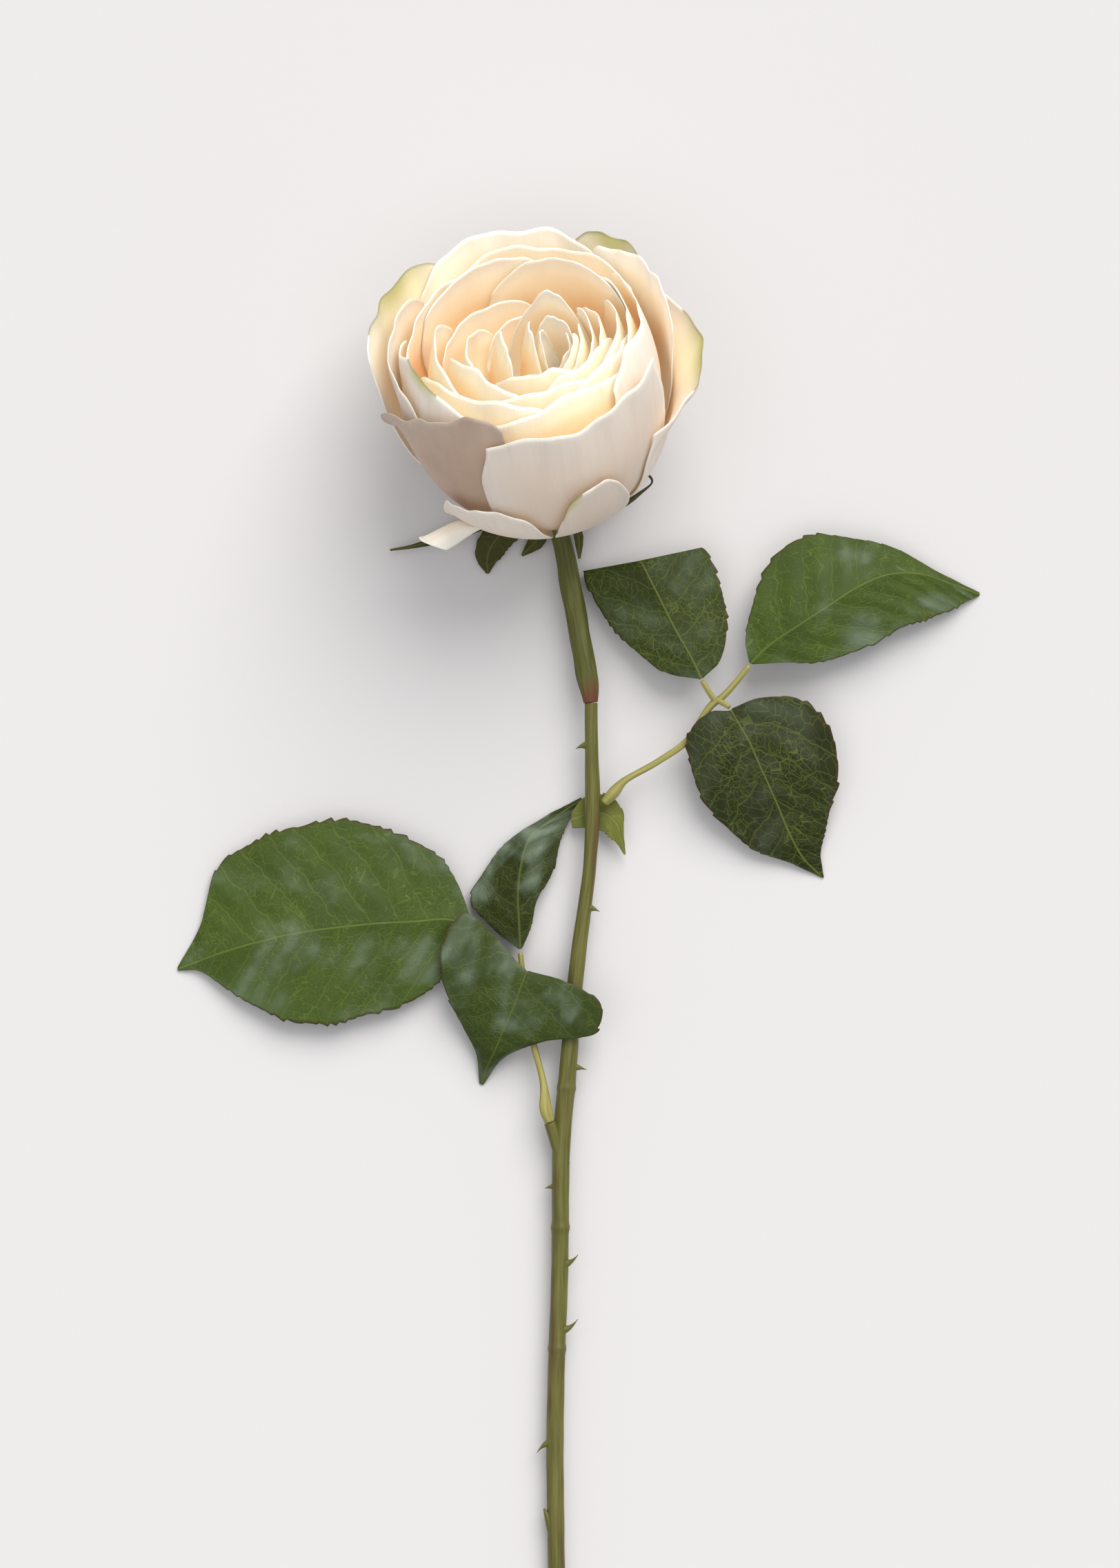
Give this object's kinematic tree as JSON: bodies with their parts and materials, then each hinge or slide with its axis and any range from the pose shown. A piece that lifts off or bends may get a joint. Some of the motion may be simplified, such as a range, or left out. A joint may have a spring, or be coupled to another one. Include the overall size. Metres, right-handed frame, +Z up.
{
  "type": "cut rose",
  "caption": "Cut garden rose with a full ruffled cream bloom on a long thorned stem with leaf sprays, lying on its back.",
  "frame": {"origin": "middle of the bounding box's lower face, on the surface that the rose lies on", "axes": "+Y along the stem from its cut end toward the bloom, +Z up from the surface it lies on, +X to the right as seen from above with the bloom at the top"},
  "size_m": [0.2326, 0.4986, 0.0851],
  "materials": {
    "petal": "matte",
    "leaf": "satin",
    "sepal": "matte",
    "stem": "satin",
    "neck": "satin",
    "petiole": "satin"
  },
  "bodies": {
    "root": {"petal_guard_tail": "petal", "petal_guard_left": "petal", "petal_guard_right": "petal", "petal_outer_back_left": "petal", "petal_outer_back_right": "petal", "petal_outer_right": "petal", "petal_outer_back": "petal", "petal_outer_front": "petal", "petal_outer_side": "petal", "petal_outer_front_left": "petal", "petal_outer_left": "petal", "petal_ring_back": "petal", "petal_ring_left": "petal", "petal_ring_right": "petal", "petal_ring_back_left": "petal", "petal_ring_front": "petal", "petal_ring_front_left": "petal", "petal_ring_front_right": "petal", "petal_mid_right": "petal", "petal_mid_back": "petal", "petal_mid_left": "petal", "petal_mid_side": "petal", "petal_mid_front": "petal", "petal_mid_back_right": "petal", "petal_mid_front_left": "petal", "petal_mid_back_left": "petal", "petal_mid_front_right": "petal", "petal_heart_left": "petal", "petal_heart_right": "petal", "petal_heart_back": "petal", "petal_heart_front": "petal", "petal_heart_side": "petal", "petal_heart_pocket": "petal", "petal_core_arch": "petal", "petal_core_side": "petal", "petal_core_front": "petal", "petal_core_left": "petal", "petal_core_back": "petal", "petal_core_right": "petal", "petal_core_tip": "petal", "leaf_upper_left": "leaf", "leaf_upper_far": "leaf", "leaf_upper_near": "leaf", "leaf_lower_broad": "leaf", "leaf_lower_back": "leaf", "leaf_lower_front": "leaf", "stipule": "leaf", "sepal_hanging": "sepal", "sepal_left": "sepal", "sepal_small": "sepal", "sepal_curled": "sepal", "sepal_long": "sepal", "stem": "stem", "neck": "neck", "receptacle": "neck", "petiole_upper": "petiole", "petiole_lower": "petiole"}
  },
  "joints": []
}
